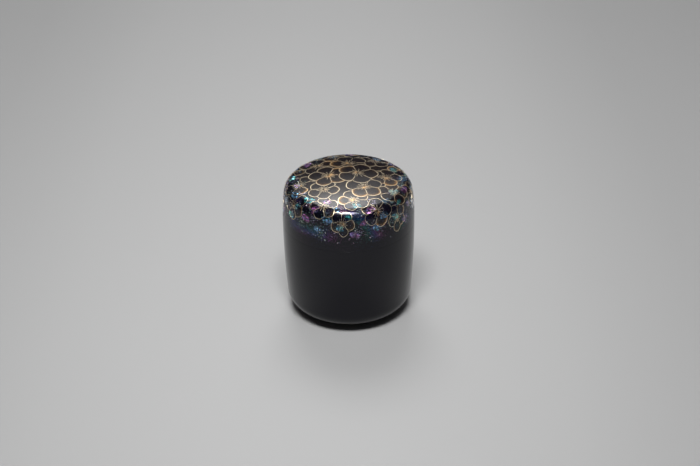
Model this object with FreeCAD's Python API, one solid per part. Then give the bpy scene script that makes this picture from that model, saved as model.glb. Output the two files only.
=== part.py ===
import FreeCAD, Part
import math
import os
import random

# A round lacquered tea caddy: a turned wooden body and a lift-off lid, each coated inside and out,
# with chips of mother-of-pearl let into the shoulder of the lid.
# Millimetres. The origin is the centre of the foot on the table, and +Z is up.

# Outside form
diameter = 66.0
height = 74.0
body_height = 50.0
dome_radius = 141.0
shoulder_radius = 6.2
lid_side_lean = 1.24
body_side_lean = 2.5
foot_inset = 12.2
foot_slope = 32.0
foot_edge_radius = 8.5
foot_ring_width = 4.0
foot_recess = 0.8
seam_bevel = 0.08

# Walls, coats and the fit of the lid on the rim
coat = 0.4
lid_wall = 1.8
lid_top = 3.2
lid_inner_dome_radius = 200.0
lid_inner_shoulder_radius = 8.0
rim_head_room = 2.4
rim_wall = 1.7
rim_clearance = 0.15
lip_radius = 0.6
well_floor = 4.0
well_edge_radius = 7.0

# Shell chips: let in by chip_depth, standing proud by chip_stand, from chip_low to chip_high along the
# surface above the seam, each between chip_least and the whole of the largest length and height
chip_depth = 0.16
chip_stand = 0.04
chip_count = 64
chip_low = 8.5
chip_high = 26.5
chip_length = 8.6
chip_height = 6.0
chip_least = 0.6
chip_corners = 6
chip_corner_shift = 0.3
chip_lean = 35.0
chip_seed = 5
chip_colours = ("green", "blue", "violet")

# Sizes that follow from those above
radius = diameter / 2
foot_radius = radius - foot_inset
lid_bore = radius - lid_wall
rim_radius = lid_bore - rim_clearance
well_radius = rim_radius - rim_wall
well_bottom = foot_recess + well_floor
origin = FreeCAD.Vector(0, 0, 0)
up = FreeCAD.Vector(0, 0, 1)


def point(across, along):
    """A point of a profile: its distance from the axis and its height."""
    return FreeCAD.Vector(across, 0, along)


def crossing(first_centre, first_radius, second_centre, second_radius):
    """Where two profile circles cross, to the left of the way from the first centre to the second."""
    gap = second_centre - first_centre
    span = gap.Length
    share = (first_radius**2 - second_radius**2 + span**2) / (2 * span)
    rise = math.sqrt(first_radius**2 - share**2)
    direction = gap / span
    return first_centre + direction * share + point(-direction.z, direction.x) * rise


def meeting(start, way, centre, reach):
    """Where a line from start, going one way, comes to a distance from a centre that it starts within."""
    offset = start - centre
    share = offset.dot(way)
    return start + way * (math.sqrt(share**2 - offset.dot(offset) + reach**2) - share)


def beyond(start, through, distance):
    """The point at a distance from start, in the direction of another point."""
    return start + (through - start).normalize() * distance


def line(start, end):
    return Part.LineSegment(start, end).toShape()


def arc(start, end, centre):
    """The shorter arc from start to end about a centre."""
    middle = beyond(centre, (start + end) / 2, (start - centre).Length)
    return Part.Arc(start, middle, end).toShape()


def slow_arc(start, end, centre):
    """An arc whose centre lies beyond the axis, kept as a spline so that it turns into one plain face."""
    middle = beyond(centre, (start + end) / 2, (start - centre).Length)
    return Part.Arc(start, middle, end).toBSpline().toShape()


def path(points):
    """Straight edges from each point to the next."""
    return [line(start, end) for start, end in zip(points, points[1:])]


def turned(edges):
    """The solid that a closed profile makes round the axis."""
    return Part.Face(Part.Wire(edges)).revolve(origin, up, 360)


def lean_radius(rise, lean):
    """The radius of an arc that starts upright and leans by so much over a rise."""
    return (rise**2 + lean**2) / (2 * lean)


# Centres of the arcs of the outside and of the inside
lid_side_radius = lean_radius(height - shoulder_radius - body_height, lid_side_lean)
body_side_radius = lean_radius(body_height, body_side_lean)
dome_centre = point(0, height - dome_radius)
lid_side_centre = point(radius - lid_side_radius, body_height)
shoulder_centre = crossing(
    lid_side_centre, lid_side_radius - shoulder_radius, dome_centre, dome_radius - shoulder_radius)
body_side_centre = point(radius - body_side_radius, body_height)
slope_way = point(math.cos(math.radians(foot_slope)), math.sin(math.radians(foot_slope)))
slope_facing = point(slope_way.z, -slope_way.x)
foot_edge_centre = meeting(
    point(foot_radius, 0) - slope_facing * foot_edge_radius, slope_way,
    body_side_centre, body_side_radius - foot_edge_radius)
inner_dome_centre = point(0, height - lid_top - lid_inner_dome_radius)
inner_shoulder_across = lid_bore - lid_inner_shoulder_radius
inner_shoulder_centre = point(inner_shoulder_across, inner_dome_centre.z + math.sqrt(
    (lid_inner_dome_radius - lid_inner_shoulder_radius)**2 - inner_shoulder_across**2))
rim_top = inner_shoulder_centre.z - rim_head_room
well_edge_centre = point(well_radius - well_edge_radius, well_bottom + well_edge_radius)
ring_inner = foot_radius - foot_ring_width


def side_point(side_centre, side_radius, level):
    """The point of a side arc at a level."""
    across = math.sqrt(side_radius**2 - (level - side_centre.z)**2)
    return point(side_centre.x + across, level)


def lid_side_point(inset, level):
    return side_point(lid_side_centre, lid_side_radius - inset, level)


def body_side_point(inset, level):
    return side_point(body_side_centre, body_side_radius - inset, level)


def lid_outside(inset, level):
    """The outside of the lid from the middle of its top down to a level, moved in by the inset."""
    top = point(0, height - inset)
    dome_end = beyond(dome_centre, shoulder_centre, dome_radius - inset)
    side_start = beyond(lid_side_centre, shoulder_centre, lid_side_radius - inset)
    side_end = lid_side_point(inset, level)
    return [
        arc(top, dome_end, dome_centre),
        arc(dome_end, side_start, shoulder_centre),
        slow_arc(side_start, side_end, lid_side_centre),
    ]


def lid_inside(outset, level):
    """The inside of the lid from a level up to the middle of its top, moved out by the outset."""
    bore_end = point(lid_bore + outset, inner_shoulder_centre.z)
    dome_start = beyond(inner_dome_centre, inner_shoulder_centre, lid_inner_dome_radius + outset)
    top = point(0, height - lid_top + outset)
    return [
        line(point(lid_bore + outset, level), bore_end),
        arc(bore_end, dome_start, inner_shoulder_centre),
        arc(dome_start, top, inner_dome_centre),
    ]


def foot_corner(inset):
    """Where the slope under the body comes down to the foot ring, both moved in by the inset."""
    return point(foot_radius - inset * math.tan(math.radians(foot_slope / 2)), inset)


def body_outside(inset, level):
    """The outside of the body from a level down to the foot ring, moved in by the inset."""
    side_end = beyond(body_side_centre, foot_edge_centre, body_side_radius - inset)
    slope_start = foot_edge_centre + slope_facing * (foot_edge_radius - inset)
    return [
        slow_arc(body_side_point(inset, level), side_end, body_side_centre),
        arc(side_end, slope_start, foot_edge_centre),
        line(slope_start, foot_corner(inset)),
    ]


def base_points(inset):
    """The underside from the edge of the foot ring in to the axis, with a slope of 45 degrees up into the
    recess, all moved up by the inset."""
    slope_shift = inset * math.tan(math.radians(45 / 2))
    return [
        foot_corner(inset),
        point(ring_inner + slope_shift, inset),
        point(ring_inner - foot_recess + slope_shift, foot_recess + inset),
        point(0, foot_recess + inset),
    ]


def well_inside(outset, level):
    """The inside of the body from the middle of its floor up to a level, moved out by the outset."""
    floor_end = point(well_edge_centre.x, well_bottom - outset)
    wall_start = point(well_radius + outset, well_edge_centre.z)
    return [
        line(point(0, well_bottom - outset), floor_end),
        arc(floor_end, wall_start, well_edge_centre),
        line(wall_start, point(well_radius + outset, level)),
    ]


def body_core():
    """The turned wooden cup with its rim."""
    ledge_level = body_height - coat
    rim_points = [
        point(well_radius + coat, rim_top - coat),
        point(rim_radius - coat, rim_top - coat),
        point(rim_radius - coat, ledge_level),
        body_side_point(coat, ledge_level),
    ]
    base = base_points(coat)
    return turned(
        body_outside(coat, ledge_level)
        + path(base + [point(0, well_bottom - coat)])
        + well_inside(coat, rim_top - coat)
        + path(rim_points))


def body_outer_lacquer():
    """The coat on the outside of the body, from the seam down to the foot ring."""
    bevel_start = body_side_point(0, body_height - seam_bevel)
    seam_points = [
        body_side_point(coat, body_height),
        point(radius - seam_bevel, body_height),
        bevel_start,
    ]
    inner = body_outside(coat, body_height)
    return turned(
        path(seam_points)
        + body_outside(0, bevel_start.z)
        + [line(foot_corner(0), foot_corner(coat))]
        + inner[::-1])


def base_lacquer():
    """The coat under the foot: the ring that stands on the table and the recess inside it."""
    under = base_points(0)
    above = base_points(coat)[::-1]
    return turned(path(under + above + under[:1]))


def body_inner_lacquer():
    """The coat inside the body, over the rim and over the ledge that carries the lid."""
    ledge_level = body_height - coat
    inner_lip = point(well_radius + lip_radius, rim_top)
    outer_lip = point(rim_radius - lip_radius, rim_top)
    outer_lip_end = point(rim_radius, rim_top - lip_radius)
    ledge_points = [
        outer_lip_end,
        point(rim_radius, body_height),
        body_side_point(coat, body_height),
        body_side_point(coat, ledge_level),
        point(rim_radius - coat, ledge_level),
        point(rim_radius - coat, rim_top - coat),
        point(well_radius + coat, rim_top - coat),
    ]
    wall = well_inside(coat, rim_top - coat)
    return turned(
        well_inside(0, rim_top - lip_radius)
        + [arc(point(well_radius, rim_top - lip_radius), inner_lip, inner_lip - up * lip_radius)]
        + [line(inner_lip, outer_lip)]
        + [arc(outer_lip, outer_lip_end, outer_lip - up * lip_radius)]
        + path(ledge_points)
        + wall[::-1]
        + [line(point(0, well_bottom - coat), point(0, well_bottom))])


def lid_core():
    """The turned wooden cap."""
    edge_level = body_height + coat
    edge = line(lid_side_point(coat, edge_level), point(lid_bore + coat, edge_level))
    axis = line(point(0, height - lid_top + coat), point(0, height - coat))
    return turned(lid_outside(coat, edge_level) + [edge] + lid_inside(coat, edge_level) + [axis])


def lid_outer_coat():
    """The coat on the outside of the lid, before the chips are let in."""
    bevel_start = lid_side_point(0, body_height + seam_bevel)
    edge_points = [
        bevel_start,
        point(radius - seam_bevel, body_height),
        lid_side_point(coat, body_height),
    ]
    inner = lid_outside(coat, body_height)
    axis = line(point(0, height - coat), point(0, height))
    return turned(lid_outside(0, bevel_start.z) + path(edge_points) + inner[::-1] + [axis])


def lid_inner_lacquer():
    """The coat inside the lid, with the turn under its edge that sits on the ledge."""
    edge_level = body_height + coat
    edge_points = [
        point(lid_bore + coat, edge_level),
        lid_side_point(coat, edge_level),
        lid_side_point(coat, body_height),
        point(lid_bore, body_height),
    ]
    outer = lid_inside(coat, edge_level)
    axis = line(point(0, height - lid_top), point(0, height - lid_top + coat))
    return turned(path(edge_points) + lid_inside(0, body_height) + [axis] + outer[::-1])


def lid_surface(above_seam):
    """A point of the lid's outside and the way it faces, by the distance along it from the seam."""
    side_to_shoulder = shoulder_centre - lid_side_centre
    dome_to_shoulder = shoulder_centre - dome_centre
    side_end = math.atan2(side_to_shoulder.z, side_to_shoulder.x)
    shoulder_end = math.atan2(dome_to_shoulder.z, dome_to_shoulder.x)
    angle = 0
    for centre, reach, end in (
            (lid_side_centre, lid_side_radius, side_end),
            (shoulder_centre, shoulder_radius, shoulder_end),
            (dome_centre, dome_radius, math.pi / 2)):
        length = reach * (end - angle)
        if above_seam <= length:
            break
        above_seam -= length
        angle = end
    angle += above_seam / reach
    facing = point(math.cos(angle), math.sin(angle))
    return centre + facing * reach, facing


def chip_skin():
    """A sector of the lid's thin surface layer, wide enough for the largest chip, facing +X."""
    edges = lid_outside(-chip_stand, body_height)
    edges.append(line(lid_side_point(-chip_stand, body_height), lid_side_point(chip_depth, body_height)))
    edges += lid_outside(chip_depth, body_height)[::-1]
    edges.append(line(point(0, height - chip_depth), point(0, height + chip_stand)))
    half_sector = math.degrees(math.asin(chip_length / radius))
    profile = Part.Face(Part.Wire(edges))
    profile.rotate(origin, up, -half_sector)
    return profile.revolve(origin, up, 2 * half_sector)


def chip_cutter(above_seam, chance):
    """A prism square to the surface on the +X side, with the uneven outline of one chip."""
    middle, facing = lid_surface(above_seam)
    around = FreeCAD.Vector(0, 1, 0)
    along = facing.cross(around)
    scale = chance.uniform(chip_least, 1)
    lean = math.radians(chance.uniform(-chip_lean, chip_lean))
    corners = []
    for corner in range(chip_corners):
        angle = 2 * math.pi * (corner + chance.uniform(-chip_corner_shift, chip_corner_shift)) / chip_corners
        size = scale * chance.uniform(chip_least, 1)
        far = size * chip_length / 2 * math.cos(angle)
        high = size * chip_height / 2 * math.sin(angle)
        across = around * (far * math.cos(lean) - high * math.sin(lean))
        corners.append(middle + across + along * (far * math.sin(lean) + high * math.cos(lean)))
    outline = Part.Face(Part.makePolygon(corners + corners[:1]))
    outline.translate(facing * -chip_length / 2)
    return outline.extrude(facing * chip_length)


def shell_chips():
    """The chips of each colour in turn, spread evenly round the lid by golden-angle steps."""
    chance = random.Random(chip_seed)
    golden_turn = 180 * (3 - math.sqrt(5))
    skin = chip_skin()
    chips = {colour: [] for colour in chip_colours}
    for number in range(chip_count):
        above_seam = chip_low + (chip_high - chip_low) * number / (chip_count - 1)
        chip = skin.common(chip_cutter(above_seam, chance)).Solids[0]
        chip.rotate(origin, up, golden_turn * number)
        chips[chip_colours[number % len(chip_colours)]].append(chip)
    return chips


def export(name, shape):
    shape.exportStep("parts/" + name + ".step")


os.makedirs("parts", exist_ok=True)
export("body_core", body_core())
export("body_outer_lacquer", body_outer_lacquer())
export("base_lacquer", base_lacquer())
export("body_inner_lacquer", body_inner_lacquer())
export("lid_core", lid_core())
export("lid_inner_lacquer", lid_inner_lacquer())
chips_by_colour = shell_chips()
all_chips = [chip for chips in chips_by_colour.values() for chip in chips]
export("lid_outer_lacquer", lid_outer_coat().cut(all_chips))
for chip_colour, chips in chips_by_colour.items():
    export("shell_chips_" + chip_colour, Part.makeCompound(chips))
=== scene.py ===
import math
import random

import bmesh
import bpy
from mathutils import Matrix, Vector


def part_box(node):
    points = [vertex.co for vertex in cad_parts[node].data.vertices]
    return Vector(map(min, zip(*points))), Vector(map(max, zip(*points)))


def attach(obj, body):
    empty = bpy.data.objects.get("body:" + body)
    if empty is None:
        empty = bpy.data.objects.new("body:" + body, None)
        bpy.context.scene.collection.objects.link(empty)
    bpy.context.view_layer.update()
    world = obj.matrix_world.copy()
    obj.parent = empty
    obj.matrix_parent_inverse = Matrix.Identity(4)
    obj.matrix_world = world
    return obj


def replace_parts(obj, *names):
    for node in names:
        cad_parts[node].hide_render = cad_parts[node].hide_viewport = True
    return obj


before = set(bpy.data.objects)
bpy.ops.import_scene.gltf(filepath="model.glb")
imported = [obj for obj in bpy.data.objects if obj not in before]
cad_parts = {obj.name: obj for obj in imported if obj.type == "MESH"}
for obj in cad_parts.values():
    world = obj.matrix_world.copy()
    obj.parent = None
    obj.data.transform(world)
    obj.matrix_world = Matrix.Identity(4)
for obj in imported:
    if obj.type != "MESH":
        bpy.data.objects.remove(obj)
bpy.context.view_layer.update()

MM = 0.001
QUARTER = math.pi / 2

# Outside form, from the frame and from the radii of its arcs
lid_low, lid_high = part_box("lid_outer_lacquer")
radius = lid_high.x
seam = lid_low.z
top = lid_high.z
dome_radius = 141 * MM
shoulder_radius = 6.2 * MM
lid_side_lean = 1.24 * MM
body_side_lean = 2.5 * MM
foot_radius = 20.8 * MM
foot_slope = math.radians(32)
foot_edge_radius = 8.5 * MM
foot_ring_width = 4 * MM
foot_recess = 0.8 * MM
seam_rounding = 0.04 * MM

# Walls and coats
coat = 0.4 * MM
lid_wall = 1.8 * MM
lid_top = 3.2 * MM
lid_inner_dome_radius = 200 * MM
lid_inner_shoulder_radius = 8 * MM
rim_clearance = 0.15 * MM
rim_wall = 1.7 * MM
lip_radius = 0.6 * MM
well_floor = 4 * MM
well_edge_radius = 7 * MM
lid_bore = radius - lid_wall
lid_inner_top = top - lid_top
rim_radius = lid_bore - rim_clearance
rim_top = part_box("body_inner_lacquer")[1].z
well_radius = rim_radius - rim_wall
well_bottom = foot_recess + well_floor

# Fineness of the turned meshes: steps round the axis
turns = 288
lid_turns = 576

# Steps along the lid's dome, shoulder and side, on the coat's outer face and on its hidden inner face
lid_steps = (84, 36, 24)
hidden_steps = (8, 8, 3)

# Steps along the other arcs of the profiles
lining_dome_steps = 24
lining_shoulder_steps = 30
body_side_steps = 40
foot_edge_steps = 30
well_edge_steps = 20
seam_steps = 5
lip_steps = 8

# What counts as on the axis, and the angles from which an edge is sharp
axis_width = 1e-6 * MM
coat_edge_angle = math.radians(35)
line_edge_angle = math.radians(25)


# Profile arcs
def lean_radius(rise, lean):
    """The radius of an arc that starts upright and leans by so much over a rise."""
    return (rise**2 + lean**2) / (2 * lean)


def crossing(first_centre, first_radius, second_centre, second_radius):
    """Where two profile circles cross, to the left of the way from the first centre to the second."""
    gap = second_centre - first_centre
    share = (first_radius**2 - second_radius**2 + gap.length**2) / (2 * gap.length)
    rise = math.sqrt(first_radius**2 - share**2)
    direction = gap.normalized()
    return first_centre + direction * share + Vector((-direction.y, direction.x)) * rise


def meeting(start, way, centre, reach):
    """Where a line from start, going one way, comes to a distance from a centre that it starts within."""
    offset = start - centre
    share = offset.dot(way)
    return start + way * (math.sqrt(share**2 - offset.dot(offset) + reach**2) - share)


def facing(angle):
    return Vector((math.cos(angle), math.sin(angle)))


def angle_of(vector):
    return math.atan2(vector.y, vector.x)


def arc(centre, reach, start, end, steps):
    """Profile points on an arc between two angles, both ends among them."""
    return [centre + facing(start + (end - start) * step / steps) * reach for step in range(steps + 1)]


lid_side_radius = lean_radius(top - shoulder_radius - seam, lid_side_lean)
body_side_radius = lean_radius(seam, body_side_lean)
dome_centre = Vector((0, top - dome_radius))
lid_side_centre = Vector((radius - lid_side_radius, seam))
shoulder_centre = crossing(
    lid_side_centre, lid_side_radius - shoulder_radius, dome_centre, dome_radius - shoulder_radius)
body_side_centre = Vector((radius - body_side_radius, seam))
slope_facing = facing(foot_slope - QUARTER)
foot_edge_centre = meeting(
    Vector((foot_radius, 0)) - slope_facing * foot_edge_radius, facing(foot_slope),
    body_side_centre, body_side_radius - foot_edge_radius)
inner_dome_centre = Vector((0, lid_inner_top - lid_inner_dome_radius))
inner_across = lid_bore - lid_inner_shoulder_radius
inner_shoulder_centre = Vector((inner_across, inner_dome_centre.y + math.sqrt(
    (lid_inner_dome_radius - lid_inner_shoulder_radius)**2 - inner_across**2)))
well_edge_centre = Vector((well_radius - well_edge_radius, well_bottom + well_edge_radius))
side_end = angle_of(shoulder_centre - lid_side_centre)
shoulder_end = angle_of(shoulder_centre - dome_centre)
body_side_end = angle_of(foot_edge_centre - body_side_centre)
inner_shoulder_end = angle_of(inner_shoulder_centre - inner_dome_centre)


def lid_outside(inset, steps):
    """The outside of the lid from the middle of its top down to the seam, moved in by the inset."""
    dome = arc(dome_centre, dome_radius - inset, QUARTER, shoulder_end, steps[0])
    shoulder = arc(shoulder_centre, shoulder_radius - inset, shoulder_end, side_end, steps[1])
    side = arc(lid_side_centre, lid_side_radius - inset, side_end, 0, steps[2])
    return dome + shoulder[1:] + side[1:]


def lid_inside(outset):
    """The inside of the lid from the seam up to the middle of its top, moved out by the outset."""
    shoulder = arc(
        inner_shoulder_centre, lid_inner_shoulder_radius + outset,
        0, inner_shoulder_end, lining_shoulder_steps)
    dome = arc(
        inner_dome_centre, lid_inner_dome_radius + outset,
        inner_shoulder_end, QUARTER, lining_dome_steps)
    return shoulder + dome[1:]


def foot_corner(inset):
    """Where the slope under the body comes down to the foot ring, both moved in by the inset."""
    return Vector((foot_radius - inset * math.tan(foot_slope / 2), inset))


def body_outside(inset):
    """The outside of the body from the seam down to the foot ring, moved in by the inset."""
    side = arc(body_side_centre, body_side_radius - inset, 0, body_side_end, body_side_steps)
    edge = arc(
        foot_edge_centre, foot_edge_radius - inset,
        body_side_end, foot_slope - QUARTER, foot_edge_steps)
    return side + edge[1:] + [foot_corner(inset)]


def base_points(inset):
    """The underside from the edge of the foot ring in to the axis, with a slope of 45 degrees up into the
    recess, all moved up by the inset."""
    ring_inner = foot_radius - foot_ring_width
    shift = inset * math.tan(math.radians(45 / 2))
    return [
        foot_corner(inset),
        Vector((ring_inner + shift, inset)),
        Vector((ring_inner - foot_recess + shift, foot_recess + inset)),
        Vector((0, foot_recess + inset)),
    ]


def well_inside(outset):
    """The inside of the body from the middle of its floor up to its upright wall, moved out by the outset."""
    edge = arc(well_edge_centre, well_edge_radius + outset, -QUARTER, 0, well_edge_steps)
    return [Vector((0, well_bottom - outset))] + edge


# Meshes
def new_piece(name, mesh, material, body):
    piece = bpy.data.objects.new(name, mesh)
    bpy.context.scene.collection.objects.link(piece)
    mesh.materials.append(material)
    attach(piece, body)
    return piece


def turned(name, profile, fineness):
    """A closed profile turned about the axis, smooth but for its edges."""
    shape = bmesh.new()
    rings = []
    for across, along in profile:
        if across < axis_width:
            rings.append([shape.verts.new((0, 0, along))])
            continue
        ring = []
        for turn in range(fineness):
            angle = 2 * math.pi * turn / fineness
            ring.append(shape.verts.new((across * math.cos(angle), across * math.sin(angle), along)))
        rings.append(ring)
    for first, second in zip(rings, rings[1:] + rings[:1]):
        if len(first) == 1 and len(second) == 1:
            continue
        for turn in range(fineness):
            after = (turn + 1) % fineness
            corners = [first[turn % len(first)], first[after % len(first)]]
            corners += [second[after % len(second)], second[turn % len(second)]]
            shape.faces.new(list(dict.fromkeys(corners)))
    bmesh.ops.recalc_face_normals(shape, faces=shape.faces)
    mesh = bpy.data.meshes.new(name)
    shape.to_mesh(mesh)
    shape.free()
    mesh.shade_smooth()
    mesh.set_sharp_from_angle(angle=coat_edge_angle)
    return mesh


# The lid's surface, laid out flat by the distance from the middle of its top
dome_length = dome_radius * (QUARTER - shoulder_end)
shoulder_length = shoulder_radius * (shoulder_end - side_end)
side_length = lid_side_radius * side_end
lid_length = dome_length + shoulder_length + side_length


def lid_profile(distance):
    """A profile point of the lid's outside and the way it faces, by the distance from the middle."""
    if distance <= dome_length:
        centre, reach, angle = dome_centre, dome_radius, QUARTER - distance / dome_radius
    elif distance <= dome_length + shoulder_length:
        centre, reach = shoulder_centre, shoulder_radius
        angle = shoulder_end - (distance - dome_length) / shoulder_radius
    else:
        centre, reach = lid_side_centre, lid_side_radius
        angle = side_end - (distance - dome_length - shoulder_length) / lid_side_radius
    return centre + facing(angle) * reach, facing(angle)


def on_lid(place):
    """The point of the lid's outside at a place of the flat layout, and the way the surface faces there."""
    distance = place.length
    profile, outward = lid_profile(distance)
    direction = place / distance if distance else Vector((1, 0))
    spot = Vector((direction.x * profile.x, direction.y * profile.x, profile.y))
    normal = Vector((direction.x * outward.x, direction.y * outward.x, outward.y))
    return spot, normal


# Gold line work: plum blossoms spread in a spiral over the lid, smaller towards its edge
blossom_seed = 21
blossom_count = 24
blossom_spread = 7.9 * MM
blossom_sizes = (8.0 * MM, 10.0 * MM)
blossom_shrink = 0.22
blossom_gap = 0.45 * MM
first_blossom_size = 10.2 * MM
first_direction = 0.6
spiral_start = 0.55
golden_turn = math.pi * (3 - math.sqrt(5))

# Petals and stamens: reach, radius, bound, start and ends are shares of the blossom's size
petal_count = 5
petal_reach = 0.56
petal_radius = 0.44
petal_bound = 1.2
petal_unevenness = 0.05
petal_waves = (2, 3, 5)
petal_wave_height = 0.022
petal_haze_skew = 2
stamen_seed = 4
stamen_count = 13
stamen_start = 0.07
stamen_ends = (0.26, 0.44)
stamen_unevenness = 0.2

# Lines, with those between petals as shares of a petal's line and of the depth of its notch
outline_widths = (0.22 * MM, 0.34 * MM)
outline_thinning = 0.35
division_width = 0.8
division_length = 0.55
stamen_width = 0.15 * MM
stamen_dot_width = 2.2 * stamen_width
line_step = 0.3 * MM
least_line_steps = 4
least_line_points = 4

# A line's section: how far across, as a share of its width, and how high
line_height = 0.05 * MM
line_sink = 0.02 * MM
line_shoulder = 0.4
line_shoulder_height = 0.9 * line_height
line_section = (
    (-0.5, -line_sink),
    (-line_shoulder, line_shoulder_height),
    (0, line_height),
    (line_shoulder, line_shoulder_height),
    (0.5, -line_sink),
)
line_end_width = 0.42
line_room = 0.6


def make_blossoms():
    """The places, sizes and petals of the blossoms, those on top first. A petal of the first one lies over
    the lid's middle."""
    chance = random.Random(blossom_seed)
    blossoms = []
    for number in range(blossom_count):
        direction = first_direction + golden_turn * number
        distance = blossom_spread * math.sqrt(number + spiral_start)
        size = chance.uniform(*blossom_sizes) * (1 - blossom_shrink * number / blossom_count)
        turn = chance.uniform(0, 2 * math.pi)
        if number == 0:
            size = first_blossom_size
            distance = size * petal_reach
            turn = direction + math.pi
        middle = facing(direction) * distance
        unevenness = petal_unevenness if number else 0
        thinning = 1 - outline_thinning * number / blossom_count
        petals = []
        for petal in range(petal_count):
            turn_shift, reach_shift, radius_shift = [chance.uniform(-1, 1) * unevenness for part in range(3)]
            angle = turn + 2 * math.pi * (petal + turn_shift) / petal_count
            petals.append({
                "middle": middle + facing(angle) * (size * petal_reach * (1 + reach_shift)),
                "width": size * petal_radius * (1 + radius_shift),
                "angle": angle,
                "waves": [chance.uniform(0, 2 * math.pi) for wave in petal_waves],
                "haze": chance.random()**petal_haze_skew,
                "line": chance.uniform(*outline_widths) * thinning,
            })
        blossoms.append({"middle": middle, "size": size, "petals": petals, "turn": turn})
    return blossoms


def inside_blossom(place, blossom, margin):
    """Whether a place lies on a blossom or within a margin of it."""
    distance = (place - blossom["middle"]).length
    if distance > blossom["size"] * petal_bound + margin:
        return False
    if distance < blossom["size"] * petal_reach:
        return True
    return any((place - petal["middle"]).length < petal["width"] + margin for petal in blossom["petals"])


def petal_edge(petal, turn):
    """A point of a petal's slightly wavy outline."""
    swell = sum(math.sin(wave * turn + start) for wave, start in zip(petal_waves, petal["waves"]))
    reach = petal["width"] * (1 + petal_wave_height * swell)
    return petal["middle"] + facing(petal["angle"] + turn) * reach


def straight_stroke(start, end):
    """Evenly spaced places from start to end."""
    steps = max(least_line_steps, int((end - start).length / line_step))
    return [start.lerp(end, step / steps) for step in range(steps + 1)]


def petal_strokes(blossom):
    """The outline of each petal where no other petal covers it, and the lines between petals."""
    strokes = []
    petals = blossom["petals"]
    for number, petal in enumerate(petals):
        steps = int(2 * math.pi * petal["width"] / line_step)
        others = [petals[number - 1], petals[(number + 1) % petal_count]]
        run = []
        for step in range(steps + 1):
            place = petal_edge(petal, 2 * math.pi * step / steps - math.pi)
            covered = any((place - other["middle"]).length < other["width"] for other in others)
            away = (place - blossom["middle"]).length > blossom["size"] * petal_reach
            if away and not covered:
                run.append(place)
        strokes.append((run, petal["line"]))
        inner = blossom["middle"] + (run[0] - blossom["middle"]) * (1 - division_length)
        strokes.append((straight_stroke(run[0], inner), division_width * petal["line"]))
    return strokes


def stamen_strokes(blossom, chance):
    """Fine lines out of the middle of a blossom, each with a dot at its end."""
    strokes = []
    for number in range(stamen_count):
        shift = chance.uniform(-stamen_unevenness, stamen_unevenness)
        outward = facing(blossom["turn"] + 2 * math.pi * (number + shift) / stamen_count)
        start = blossom["middle"] + outward * (blossom["size"] * stamen_start)
        end = blossom["middle"] + outward * (blossom["size"] * chance.uniform(*stamen_ends))
        half_dot = outward * stamen_width
        strokes.append((straight_stroke(start, end), stamen_width))
        strokes.append((straight_stroke(end - half_dot, end + half_dot), stamen_dot_width))
    return strokes


def visible_runs(stroke, above):
    """The stretches of a stroke that lie under no other blossom."""
    runs = []
    run = []
    for place in stroke:
        if not any(inside_blossom(place, blossom, blossom_gap) for blossom in above):
            run.append(place)
        elif run:
            runs.append(run)
            run = []
    if run:
        runs.append(run)
    return [run for run in runs if len(run) >= least_line_points]


def add_line(vertices, faces, run, width):
    """A raised line with a rounded back, thinner towards its ends, and lower close to the middle of the top,
    so that nothing stands above that."""
    first = len(vertices)
    spots = [on_lid(place) for place in run]
    for number, (spot, normal) in enumerate(spots):
        before = spots[max(number - 1, 0)][0]
        after = spots[min(number + 1, len(spots) - 1)][0]
        side = (after - before).normalized().cross(normal)
        swell = math.sqrt(max(0, math.sin(math.pi * number / (len(spots) - 1))))
        full = width * (line_end_width + (1 - line_end_width) * swell)
        room = min(1, line_room * (top - spot.z) / line_height)
        for across, height in line_section:
            rise = height * room if height > 0 else height
            vertices.append(spot + side * (across * full) + normal * rise)
    count = len(line_section)
    for number in range(len(spots) - 1):
        for corner in range(count):
            after = (corner + 1) % count
            low = first + number * count
            faces.append((low + corner, low + after, low + count + after, low + count + corner))
    faces.append(tuple(first + corner for corner in reversed(range(count))))
    last = first + (len(spots) - 1) * count
    faces.append(tuple(last + corner for corner in range(count)))


def gold_lines(material, blossoms):
    """The outlines, divisions and stamens of the blossoms, where they show."""
    chance = random.Random(stamen_seed)
    vertices = []
    faces = []
    for number, blossom in enumerate(blossoms):
        above = blossoms[:number]
        for stroke, width in petal_strokes(blossom) + stamen_strokes(blossom, chance):
            for run in visible_runs(stroke, above):
                add_line(vertices, faces, run, width)
    mesh = bpy.data.meshes.new("gold_lines")
    mesh.from_pydata(vertices, [], faces)
    mesh.shade_smooth()
    mesh.set_sharp_from_angle(angle=line_edge_angle)
    new_piece("gold_lines", mesh, material, "lid")


# Crushed shell: in clusters, strewn between them, and a little below them
shell_seed = 8
cluster_count = 64
cluster_flakes = 190
cluster_spread = 1.5 * MM
cluster_purity = 0.75
strewn_flakes = 5400
low_flakes = 300
dust_top = dome_length - 5 * MM
dust_bottom = lid_length - 3 * MM
cluster_bottom = lid_length - 8 * MM
bare_petals = 0.7

# The colours of shell, from pink to green; most flakes are dark, and the few bright ones are pale: painted
# glints on the shell's own colour
shell_hues = (
    (0.78, 0.16, 0.60),
    (0.34, 0.18, 0.78),
    (0.10, 0.34, 0.80),
    (0.08, 0.62, 0.58),
    (0.16, 0.60, 0.30),
)
least_shade = 0.05
painted_glint_paleness = 0.8
glint_skew = 5

# The shape of a flake
flake_sizes = (0.06 * MM, 0.30 * MM)
flake_size_skew = 2
flake_corners = (4, 5, 6)
flake_corner_shift = 0.3
flake_corner_reach = (0.7, 1.1)
flake_tilt = 0.21
flake_stand = 0.03 * MM
flake_room = 0.14 * MM
flake_sink = 0.05 * MM

# Loose gold: grains along the lines, but none close to the middle of the top
grain_seed = 15
grain_every = 2
grain_sizes = (0.04 * MM, 0.08 * MM)
grain_spread = 0.30 * MM
bare_middle = 4 * MM


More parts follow.
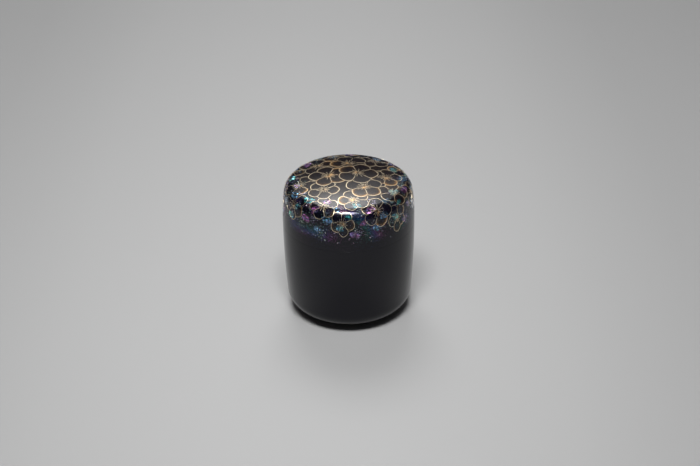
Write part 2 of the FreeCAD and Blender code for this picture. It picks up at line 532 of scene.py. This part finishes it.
def add_flake(vertices, faces, place, size, chance):
    """A thin flake with an uneven outline, set into the lid: tilted, but flatter where the lid is widest
    or highest. Gives the number of its vertices."""
    spot, normal = on_lid(place)
    room = min(top - spot.z, radius - spot.xy.length)
    freedom = min(1, room / flake_room)
    around = Vector((-place.y, place.x, 0)).normalized()
    along = normal.cross(around)
    tilted = normal + (around * chance.gauss(0, flake_tilt) + along * chance.gauss(0, flake_tilt)) * freedom
    tilted.normalize()
    around = along.cross(tilted).normalized()
    along = tilted.cross(around)
    corners = chance.choice(flake_corners)
    turn = chance.uniform(0, math.pi)
    outline = []
    for corner in range(corners):
        shift = chance.uniform(-flake_corner_shift, flake_corner_shift)
        angle = turn + 2 * math.pi * (corner + shift) / corners
        reach = size * chance.uniform(*flake_corner_reach)
        outline.append((around * math.cos(angle) + along * math.sin(angle)) * reach)
    first = len(vertices)
    vertices += [spot + step - tilted * flake_sink for step in outline]
    vertices += [spot + step + tilted * (flake_stand * freedom) for step in outline]
    faces.append(tuple(first + corner for corner in reversed(range(corners))))
    faces.append(tuple(first + corners + corner for corner in range(corners)))
    for corner in range(corners):
        after = (corner + 1) % corners
        faces.append((first + corner, first + after, first + corners + after, first + corners + corner))
    return 2 * corners


def gold_dust(material, blossoms):
    """Loose grains of gold along the outlines of the petals."""
    chance = random.Random(grain_seed)
    vertices = []
    faces = []
    for number, blossom in enumerate(blossoms):
        for stroke, width in petal_strokes(blossom):
            for run in visible_runs(stroke, blossoms[:number]):
                for place in run[::grain_every]:
                    drift = Vector((chance.gauss(0, grain_spread), chance.gauss(0, grain_spread)))
                    if (place + drift).length > bare_middle:
                        add_flake(vertices, faces, place + drift, chance.uniform(*grain_sizes), chance)
    mesh = bpy.data.meshes.new("gold_dust")
    mesh.from_pydata(vertices, [], faces)
    new_piece("gold_dust", mesh, material, "lid")


def shell_dust(material, blossoms):
    """Flakes of crushed shell, most of them between the petals."""
    chance = random.Random(shell_seed)
    vertices = []
    faces = []
    tints = []

    def strew(place, hue):
        covered = any(inside_blossom(place, blossom, blossom_gap / 2) for blossom in blossoms)
        if place.length > dust_bottom or (covered and chance.random() < bare_petals):
            return
        size = flake_sizes[0] + (flake_sizes[1] - flake_sizes[0]) * chance.random()**flake_size_skew
        # A random few flakes get a bright colour mixed towards white: painted glints
        glint = chance.random()**glint_skew
        shade = least_shade + (1 - least_shade) * glint
        pale = painted_glint_paleness * glint
        count = add_flake(vertices, faces, place, size, chance)
        tint = tuple(shade * part + pale * (1 - shade * part) for part in hue) + (1,)
        tints.extend([tint] * count)

    for cluster in range(cluster_count):
        distance = dust_top + (cluster_bottom - dust_top) * (cluster + 0.5) / cluster_count
        middle = facing(golden_turn * cluster) * distance
        hue = chance.choice(shell_hues)
        for flake in range(cluster_flakes):
            drift = Vector((chance.gauss(0, cluster_spread), chance.gauss(0, cluster_spread)))
            strew(middle + drift, hue if chance.random() < cluster_purity else chance.choice(shell_hues))
    for flake in range(strewn_flakes):
        distance = chance.triangular(dust_top, dust_bottom, dome_length + shoulder_length)
        strew(facing(chance.uniform(0, 2 * math.pi)) * distance, chance.choice(shell_hues))
    for flake in range(low_flakes):
        distance = chance.uniform(dome_length + shoulder_length, dust_bottom)
        strew(facing(chance.uniform(0, 2 * math.pi)) * distance, chance.choice(shell_hues))
    mesh = bpy.data.meshes.new("shell_dust")
    mesh.from_pydata(vertices, [], faces)
    set_colours(mesh, "tint", tints)
    new_piece("shell_dust", mesh, material, "lid")


# Powder in the lid's coat: gold that fades in from the petals' edges, and shell round the shoulder
gold_tint = (0.62, 0.34, 0.12)
gold_haze = 0.46
gold_haze_depth = 0.9 * MM
ground_haze = 0.07
petal_haze = 0.055
shell_haze = 0.15
shell_haze_reach = 10 * MM
shell_haze_fade = 4 * MM
shell_haze_fall = 2
shell_on_petals = 0.6
hue_drift = 4.5 * MM
hue_cross_drift = 1.3
hue_skew = 1.4
patch_drift = 5.5 * MM
patch_sway = 2


def set_colours(mesh, name, colours):
    layer = mesh.color_attributes.new(name, "FLOAT_COLOR", "POINT")
    layer.data.foreach_set("color", [part for colour in colours for part in colour])


def shell_tint(place):
    """A shell colour that drifts from place to place."""
    sideways = place.x / hue_drift
    crossways = hue_cross_drift * place.y / hue_drift + sideways / 2
    drift = (2 + math.sin(sideways) + math.sin(crossways)) / 4
    share = drift**hue_skew * (len(shell_hues) - 1)
    number = min(int(share), len(shell_hues) - 2)
    low, high = Vector(shell_hues[number]), Vector(shell_hues[number + 1])
    return low.lerp(high, share - number)


def powder_at(place, blossoms):
    """The colour of the powder at a place of the flat layout, and how dense it lies there."""
    above_shoulder = max(0, dome_length + shoulder_length / 2 - place.length) / shell_haze_reach
    above_end = min(1, max(0, dust_bottom - place.length) / shell_haze_fade)
    patch = (1 + math.sin(place.x / patch_drift + patch_sway * math.sin(place.y / patch_drift))) / 2
    shell = shell_haze * patch * above_end * math.exp(-shell_haze_fall * above_shoulder**2)
    on_top = min(1, max(0, (dust_top - place.length) / shell_haze_reach + 1))
    gold = ground_haze * on_top
    for blossom in blossoms:
        if inside_blossom(place, blossom, 0):
            petals = blossom["petals"]
            depth, haze = max(
                (petal["width"] - (place - petal["middle"]).length, petal["haze"]) for petal in petals)
            gold = petal_haze * on_top + gold_haze * haze * math.exp(-max(depth, 0) / gold_haze_depth)
            shell *= shell_on_petals
            break
    if gold > shell:
        return gold_tint + (gold,)
    return tuple(shell_tint(place)) + (shell,)


def strew_powder(mesh, blossoms):
    """The powder's colours on the vertices of the lid's coat, ring by ring from the middle of its top."""
    profile = lid_outside(0, lid_steps)[:-1]
    distances = [0]
    for before, after in zip(profile, profile[1:]):
        distances.append(distances[-1] + (after - before).length)
    colours = [powder_at(Vector((0, 0)), blossoms)]
    for distance in distances[1:]:
        for turn in range(lid_turns):
            colours.append(powder_at(facing(2 * math.pi * turn / lid_turns) * distance, blossoms))
    colours += [(0, 0, 0, 0)] * (len(mesh.vertices) - len(colours))
    set_colours(mesh, "powder", colours)


# Coats of lacquer
def lacquer_pieces(lid_finish, outside, inside, blossoms):
    """The five coats, each as thick as its node and in its place."""
    lid_edge = arc(
        Vector((radius - seam_rounding, seam + seam_rounding)), seam_rounding, 0, -QUARTER, seam_steps)
    lid_coat = lid_outside(0, lid_steps)[:-1] + lid_edge + lid_outside(coat, hidden_steps)[::-1]
    body_edge = arc(
        Vector((radius - seam_rounding, seam - seam_rounding)), seam_rounding, QUARTER, 0, seam_steps)
    body_coat = body_edge + body_outside(0)[1:] + body_outside(coat)[::-1]
    base_coat = base_points(0) + base_points(coat)[::-1]
    ledge = Vector((radius - coat, seam))
    down = Vector((0, coat))
    lid_turn = [ledge + down, ledge, Vector((lid_bore, seam))]
    lid_lining = lid_turn + lid_inside(0) + lid_inside(coat)[::-1] + [Vector((lid_bore + coat, seam + coat))]
    lip_level = rim_top - lip_radius
    lip_inner = arc(Vector((well_radius + lip_radius, lip_level)), lip_radius, math.pi, QUARTER, lip_steps)
    lip_outer = arc(Vector((rim_radius - lip_radius, lip_level)), lip_radius, QUARTER, 0, lip_steps)
    rim_outside = [Vector((rim_radius, seam)), ledge, ledge - down, Vector((rim_radius - coat, seam - coat))]
    rim_inside = [Vector((rim_radius - coat, rim_top - coat)), Vector((well_radius + coat, rim_top - coat))]
    lining = well_inside(0) + lip_inner + lip_outer + rim_outside + rim_inside + well_inside(coat)[::-1]
    for node, profile, fineness, material, body in (
            ("lid_outer_lacquer", lid_coat, lid_turns, lid_finish, "lid"),
            ("lid_inner_lacquer", lid_lining, turns, inside, "lid"),
            ("body_outer_lacquer", body_coat, turns, outside, "body"),
            ("body_inner_lacquer", lining, turns, inside, "body"),
            ("base_lacquer", base_coat, turns, inside, "body")):
        mesh = turned(node + "_polished", profile, fineness)
        if node == "lid_outer_lacquer":
            strew_powder(mesh, blossoms)
        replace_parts(new_piece(node + "_polished", mesh, material, body), node)


# Materials: scales of grain are per metre, and depths of relief in metres
lacquer_colours = ((0.0007, 0.0007, 0.0038), (0.0018, 0.0016, 0.0046))
lacquer_index = 1.39
outer_roughness = 0.18
inner_roughness = 0.24
gold_colours = ((0.64, 0.49, 0.30), (0.97, 0.84, 0.61))
wood_colours = ((0.42, 0.28, 0.16), (0.62, 0.46, 0.29))
chip_colours = {
    "green": ((0.06, 0.45, 0.30), (0.10, 0.70, 0.62), (0.12, 0.42, 0.72), (0.35, 0.70, 0.35)),
    "blue": ((0.08, 0.30, 0.70), (0.30, 0.62, 0.85), (0.14, 0.24, 0.60), (0.12, 0.62, 0.60)),
    "violet": ((0.42, 0.14, 0.60), (0.75, 0.22, 0.55), (0.22, 0.20, 0.66), (0.60, 0.40, 0.70)),
}
chip_band_start = 0.3
chip_band_length = 0.4
# Random greys per facet that the shell's colour is multiplied by, as (position, grey) pairs: partly the
# shell's own tone, partly painted glints and painted shade, most facets dark and a few bright
chip_tones_and_glints = ((0.1, 0.06), (0.5, 0.20), (0.75, 0.5), (0.92, 1.1))
chip_facet_tilt = 0.8


def new_material(name):
    material = bpy.data.materials.new(name)
    material.use_nodes = True
    tree = material.node_tree
    shader = tree.nodes["Principled BSDF"]
    return material, tree, shader


def noise(tree, scale, detail=3):
    """Cloudy unevenness fixed to the object."""
    place = tree.nodes.new("ShaderNodeTexCoord")
    texture = tree.nodes.new("ShaderNodeTexNoise")
    texture.inputs["Scale"].default_value = scale
    texture.inputs["Detail"].default_value = detail
    tree.links.new(place.outputs["Object"], texture.inputs["Vector"])
    return texture


def ramp(tree, source, stops):
    """Colours or greys along a value, as (position, colour) pairs."""
    node = tree.nodes.new("ShaderNodeValToRGB")
    elements = node.color_ramp.elements
    while len(elements) < len(stops):
        elements.new(0.5)
    for element, (position, colour) in zip(elements, stops):
        element.position = position
        element.color = colour + (1,)
    tree.links.new(source, node.inputs["Fac"])
    return node.outputs["Color"]


def grey(value):
    return (value, value, value)


def bump(tree, shader, source, strength, distance):
    """A fine relief on a surface."""
    node = tree.nodes.new("ShaderNodeBump")
    node.inputs["Strength"].default_value = strength
    node.inputs["Distance"].default_value = distance
    tree.links.new(source, node.inputs["Height"])
    tree.links.new(node.outputs["Normal"], shader.inputs["Normal"])


def mixed(tree, share, first, second):
    """Two colours or greys mixed by a share that varies over the surface."""
    node = tree.nodes.new("ShaderNodeMix")
    node.data_type = "RGBA"
    tree.links.new(share, node.inputs["Factor"])
    tree.links.new(first, node.inputs["A"])
    tree.links.new(second, node.inputs["B"])
    return node.outputs["Result"]


def black_lacquer(name, roughness, powdered=False):
    """Polished lacquer: near black with a trace of blue, slightly uneven in gloss and in flatness."""
    material, tree, shader = new_material(name)
    cloud = noise(tree, scale=40)
    colour = ramp(tree, cloud.outputs["Fac"], ((0.35, lacquer_colours[0]), (0.7, lacquer_colours[1])))
    smear = noise(tree, scale=90, detail=5)
    gloss = ramp(tree, smear.outputs["Fac"], ((0.3, grey(roughness * 0.8)), (0.7, grey(roughness * 1.25))))
    if powdered:
        powder = tree.nodes.new("ShaderNodeAttribute")
        powder.attribute_name = "powder"
        grain = noise(tree, scale=5500, detail=2)
        density = tree.nodes.new("ShaderNodeMath")
        density.operation = "ADD"
        tree.links.new(grain.outputs["Fac"], density.inputs[0])
        tree.links.new(powder.outputs["Alpha"], density.inputs[1])
        grains = ramp(tree, density.outputs["Value"], ((0.68, grey(0)), (0.98, grey(1))))
        colour = mixed(tree, grains, colour, powder.outputs["Color"])
        grain_gloss = ramp(tree, grain.outputs["Fac"], ((0.4, grey(0.3)), (0.7, grey(0.4))))
        gloss = mixed(tree, grains, gloss, grain_gloss)
        tree.links.new(grains, shader.inputs["Metallic"])
    tree.links.new(colour, shader.inputs["Base Color"])
    tree.links.new(gloss, shader.inputs["Roughness"])
    wave = noise(tree, scale=120, detail=1)
    bump(tree, shader, wave.outputs["Fac"], strength=0.12, distance=0.00004)
    shader.inputs["IOR"].default_value = lacquer_index
    return material


def gold_powder():
    """Gold powder under a clear coat of lacquer: bright grains over a browner ground."""
    material, tree, shader = new_material("gold_powder")
    grain = noise(tree, scale=9000, detail=2)
    colour = ramp(tree, grain.outputs["Fac"], ((0.3, gold_colours[0]), (0.6, gold_colours[1])))
    tree.links.new(colour, shader.inputs["Base Color"])
    gloss = ramp(tree, grain.outputs["Fac"], ((0.3, grey(0.48)), (0.7, grey(0.34))))
    tree.links.new(gloss, shader.inputs["Roughness"])
    bump(tree, shader, grain.outputs["Fac"], strength=0.4, distance=0.00003)
    shader.inputs["Metallic"].default_value = 1
    shader.inputs["Coat Weight"].default_value = 1
    shader.inputs["Coat Roughness"].default_value = 0.15
    shader.inputs["Coat IOR"].default_value = lacquer_index
    return material


def mother_of_pearl(name, colours):
    """Shell that runs through its colours in bands and is cracked into small facets facing unlike ways; each
    facet's colour is darkened by a random grey, partly the shell's own tone and partly painted glints and
    painted shade.
    """
    material, tree, shader = new_material(name)
    place = tree.nodes.new("ShaderNodeTexCoord")
    band = noise(tree, scale=300, detail=2)
    band.inputs["Distortion"].default_value = 1.5
    step = chip_band_length / (len(colours) - 1)
    stops = [(chip_band_start + step * number, colour) for number, colour in enumerate(colours)]
    hue = ramp(tree, band.outputs["Fac"], stops)
    cells = tree.nodes.new("ShaderNodeTexVoronoi")
    cells.inputs["Scale"].default_value = 1250
    tree.links.new(place.outputs["Object"], cells.inputs["Vector"])
    split = tree.nodes.new("ShaderNodeSeparateColor")
    tree.links.new(cells.outputs["Color"], split.inputs["Color"])
    # Each facet's colour darkened by a random grey: partly its own tone, partly painted glints and painted
    # shade
    shade = ramp(tree, split.outputs["Red"], [(position, grey(value)) for position, value in chip_tones_and_glints])
    field = tree.nodes.new("ShaderNodeMix")
    field.data_type = "RGBA"
    field.blend_type = "MULTIPLY"
    field.inputs["Factor"].default_value = 1
    tree.links.new(hue, field.inputs["A"])
    tree.links.new(shade, field.inputs["B"])
    tree.links.new(field.outputs["Result"], shader.inputs["Base Color"])
    surface = tree.nodes.new("ShaderNodeNewGeometry")
    centred = tree.nodes.new("ShaderNodeVectorMath")
    centred.operation = "SUBTRACT"
    centred.inputs[1].default_value = (0.5, 0.5, 0.5)
    tree.links.new(cells.outputs["Color"], centred.inputs[0])
    facet = tree.nodes.new("ShaderNodeVectorMath")
    facet.operation = "MULTIPLY_ADD"
    facet.inputs[1].default_value = (chip_facet_tilt,) * 3
    tree.links.new(centred.outputs["Vector"], facet.inputs[0])
    tree.links.new(surface.outputs["Normal"], facet.inputs[2])
    even = tree.nodes.new("ShaderNodeVectorMath")
    even.operation = "NORMALIZE"
    tree.links.new(facet.outputs["Vector"], even.inputs[0])
    tree.links.new(even.outputs["Vector"], shader.inputs["Normal"])
    shader.inputs["Metallic"].default_value = 0.75
    shader.inputs["Roughness"].default_value = 0.15
    shader.inputs["Coat Weight"].default_value = 1
    shader.inputs["Coat Roughness"].default_value = 0.1
    shader.inputs["Coat IOR"].default_value = 1.42
    return material


def shell_flakes():
    """Crushed shell: each flake has its own colour, and the bright, pale colour of a few is a painted glint.
    """
    material, tree, shader = new_material("shell_flakes")
    tint = tree.nodes.new("ShaderNodeAttribute")
    tint.attribute_name = "tint"
    tree.links.new(tint.outputs["Color"], shader.inputs["Base Color"])
    grain = noise(tree, scale=4000, detail=1)
    gloss = ramp(tree, grain.outputs["Fac"], ((0.3, grey(0.12)), (0.7, grey(0.28))))
    tree.links.new(gloss, shader.inputs["Roughness"])
    shader.inputs["Metallic"].default_value = 0.7
    return material


def turned_wood():
    """Plain turned wood with fine growth rings."""
    material, tree, shader = new_material("turned_wood")
    place = tree.nodes.new("ShaderNodeTexCoord")
    rings = tree.nodes.new("ShaderNodeTexWave")
    rings.wave_type = "RINGS"
    rings.rings_direction = "X"
    rings.inputs["Scale"].default_value = 180
    rings.inputs["Distortion"].default_value = 3
    tree.links.new(place.outputs["Object"], rings.inputs["Vector"])
    colour = ramp(tree, rings.outputs["Fac"], ((0.1, wood_colours[0]), (0.8, wood_colours[1])))
    tree.links.new(colour, shader.inputs["Base Color"])
    bump(tree, shader, rings.outputs["Fac"], strength=0.2, distance=0.0001)
    shader.inputs["Roughness"].default_value = 0.6
    return material


def dress(node, material):
    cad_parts[node].data.materials.clear()
    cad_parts[node].data.materials.append(material)


# Studio floor, plain and pale, in metres, with a painted pool of light: its colour darkens away from the
# pool's middle by (distance, share) pairs
floor_size = 8.0
floor_grey = 0.402
painted_pool_width = 0.40
painted_pool_shift = 0.02
painted_pool_depth = 2.50
painted_pool_fade = ((0, 1), (0.1, 0.99), (0.2, 0.963), (0.31, 0.922), (0.4, 0.865), (0.5, 0.815), (1, 0.78))

# Soft lights above: name, place, aim, width, depth, power in watts and spread in degrees
studio_lights = (
    ("box_behind", (-0.06, 0.65, 1.00), (0, 0, 0.05), 0.46, 0.44, 4.2, 180),
    ("edge_above", (-0.06, 0.376, 1.10), (0, 0, 0.05), 0.46, 0.15, 0.55, 180),
    ("panel_behind", (-0.06, 1.20, 0.90), (0, 0, 0.05), 1.20, 0.35, 0.37, 180),
    ("screen_behind", (-0.06, 0.86, 1.12), (0, 0, 0.05), 0.80, 0.70, 1.1, 180),
    ("glow_behind", (-0.06, 0.98, 1.16), (0, 0, 0.05), 1.10, 1.00, 1.6, 180),
    ("box_in_front", (-0.05, -0.59, 1.25), (-0.03, 0, 0.03), 0.44, 0.32, 4.25, 90),
    ("bar_in_front", (-0.08, -0.61, 1.27), (-0.08, 0, 0.03), 1.60, 0.28, 0.45, 60),
)
studio_dark = (0.045, 0.045, 0.047, 1)


def make_floor():
    material, tree, shader = new_material("studio_floor")
    place = tree.nodes.new("ShaderNodeTexCoord")
    fit = tree.nodes.new("ShaderNodeMapping")
    fit.inputs["Location"].default_value = (painted_pool_shift / painted_pool_width, 0, 0)
    fit.inputs["Scale"].default_value = (1 / painted_pool_width, 1 / painted_pool_depth, 1)
    tree.links.new(place.outputs["Object"], fit.inputs["Vector"])
    # The painted pool of light: the floor's colour darkens away from the pool's middle
    pool = tree.nodes.new("ShaderNodeTexGradient")
    pool.gradient_type = "SPHERICAL"
    tree.links.new(fit.outputs["Vector"], pool.inputs["Vector"])
    stops = [(1 - reach, grey(floor_grey * share)) for reach, share in reversed(painted_pool_fade)]
    colour = ramp(tree, pool.outputs["Fac"], stops)
    tree.links.new(colour, shader.inputs["Base Color"])
    shader.inputs["Roughness"].default_value = 0.75
    shader.inputs["Specular IOR Level"].default_value = 0.2
    half = floor_size / 2
    mesh = bpy.data.meshes.new("studio_floor")
    corners = [(-half, -half, 0), (half, -half, 0), (half, half, 0), (-half, half, 0)]
    mesh.from_pydata(corners, [], [(0, 1, 2, 3)])
    mesh.materials.append(material)
    floor = bpy.data.objects.new("studio_floor", mesh)
    bpy.context.scene.collection.objects.link(floor)


def area_light(name, place, aim, width, depth, power, spread):
    lamp = bpy.data.lights.new(name, "AREA")
    lamp.shape = "RECTANGLE"
    lamp.size = width
    lamp.size_y = depth
    lamp.energy = power
    lamp.spread = math.radians(spread)
    light = bpy.data.objects.new(name, lamp)
    light.location = place
    light.rotation_euler = (Vector(aim) - Vector(place)).to_track_quat("-Z", "Y").to_euler()
    bpy.context.scene.collection.objects.link(light)


def make_lights():
    for light in studio_lights:
        area_light(*light)
    world = bpy.data.worlds.new("dark_studio")
    world.use_nodes = True
    background = world.node_tree.nodes["Background"]
    background.inputs["Color"].default_value = studio_dark
    bpy.context.scene.world = world


# Camera: as far, as high and as level as the photograph was taken
camera_place = Vector((0.0006, -0.7300, 0.4729))
camera_elevation = math.radians(30.6)
camera_roll = math.radians(-0.72)
camera_lens = 86.56
camera_sensor = 36


def make_camera():
    data = bpy.data.cameras.new("camera")
    data.sensor_fit = "HORIZONTAL"
    data.sensor_width = camera_sensor
    data.lens = camera_lens
    camera = bpy.data.objects.new("camera", data)
    tilt = Matrix.Rotation(QUARTER - camera_elevation, 4, "X")
    camera.matrix_world = Matrix.Translation(camera_place) @ tilt @ Matrix.Rotation(camera_roll, 4, "Z")
    bpy.context.scene.collection.objects.link(camera)
    bpy.context.scene.camera = camera


plum_blossoms = make_blossoms()
lacquer_pieces(
    black_lacquer("powdered_lacquer", outer_roughness, powdered=True),
    black_lacquer("polished_lacquer", outer_roughness),
    black_lacquer("inner_lacquer", inner_roughness),
    plum_blossoms)
gold = gold_powder()
gold_lines(gold, plum_blossoms)
gold_dust(gold, plum_blossoms)
shell_dust(shell_flakes(), plum_blossoms)
for chip_colour, colours in chip_colours.items():
    dress("shell_chips_" + chip_colour, mother_of_pearl(chip_colour + "_shell", colours))
wood = turned_wood()
dress("body_core", wood)
dress("lid_core", wood)
make_floor()
make_lights()
make_camera()
bpy.context.scene.view_settings.view_transform = "Standard"
